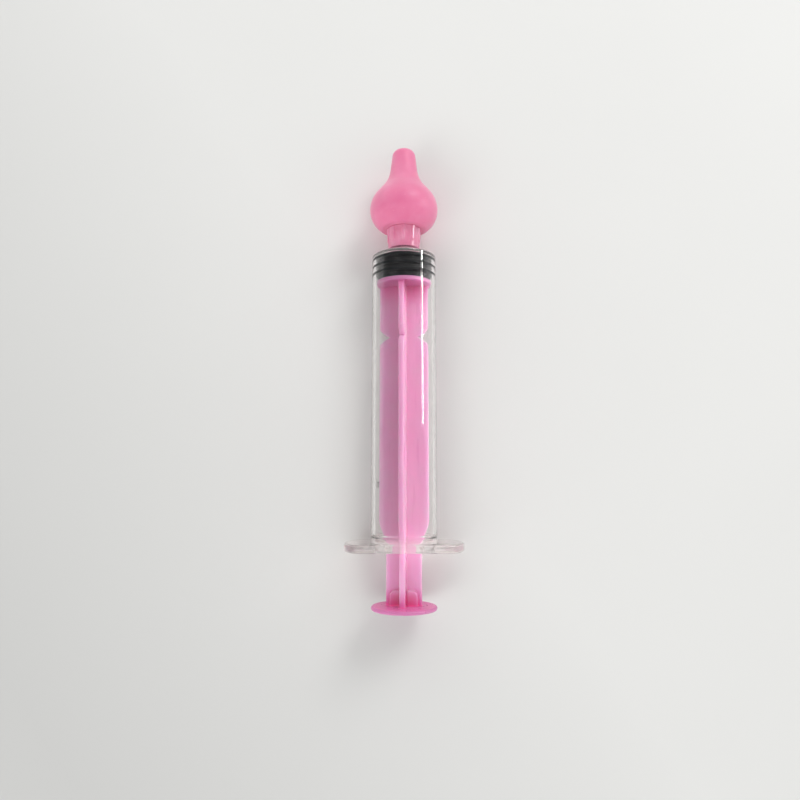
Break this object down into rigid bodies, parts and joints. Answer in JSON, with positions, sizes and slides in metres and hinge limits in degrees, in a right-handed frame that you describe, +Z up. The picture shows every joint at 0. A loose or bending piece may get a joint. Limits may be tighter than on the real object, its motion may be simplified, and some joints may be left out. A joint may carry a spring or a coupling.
{
  "type": "oral syringe with soft rinse nozzle",
  "caption": "Clear plunger syringe with a finger flange, a ribbed rubber gasket, a crossed-fin rod and a ribbed hub carrying a soft onion-shaped silicone nozzle.",
  "frame": {"origin": "bottom centre of the bounding box: the surface that the syringe lies on, under the middle of its length", "axes": "+Y along the syringe's axis from the thumb disc to the nozzle, +Z up, +X towards one end of the finger flange"},
  "size_m": [0.0306, 0.1224, 0.0184],
  "materials": {
    "clear_plastic": "clear polished polypropylene",
    "black_ink": "matt printed ink",
    "gasket_rubber": "lightly oiled black rubber",
    "pink_plastic": "slightly translucent moulded pink",
    "hub_plastic": "glossy moulded pink",
    "pink_silicone": "smooth matt silicone"
  },
  "bodies": {
    "barrel": {"barrel": "clear_plastic", "scale_print": "black_ink"},
    "gasket": {"gasket": "gasket_rubber"},
    "rod": {"plunger_rod": "pink_plastic"},
    "hub": {"nozzle_hub": "hub_plastic"},
    "tip": {"silicone_tip": "pink_silicone"}
  },
  "joints": [
    {"name": "plunger_slide", "type": "slide", "parent": "barrel", "child": "gasket", "axis": [0, -1, 0], "range_m": [0, 0.064]},
    {"name": "rod_turn", "type": "hinge", "parent": "gasket", "child": "rod", "pos_m": [0, 0.02344, 0.0092], "axis": [0, 1, 0], "continuous": true},
    {"name": "nozzle_pull", "type": "slide", "parent": "barrel", "child": "hub", "axis": [0, 1, 0], "range_m": [0, 0.01]},
    {"name": "tip_turn", "type": "hinge", "parent": "hub", "child": "tip", "pos_m": [0, 0.04344, 0.0092], "axis": [0, 1, 0], "continuous": true}
  ]
}
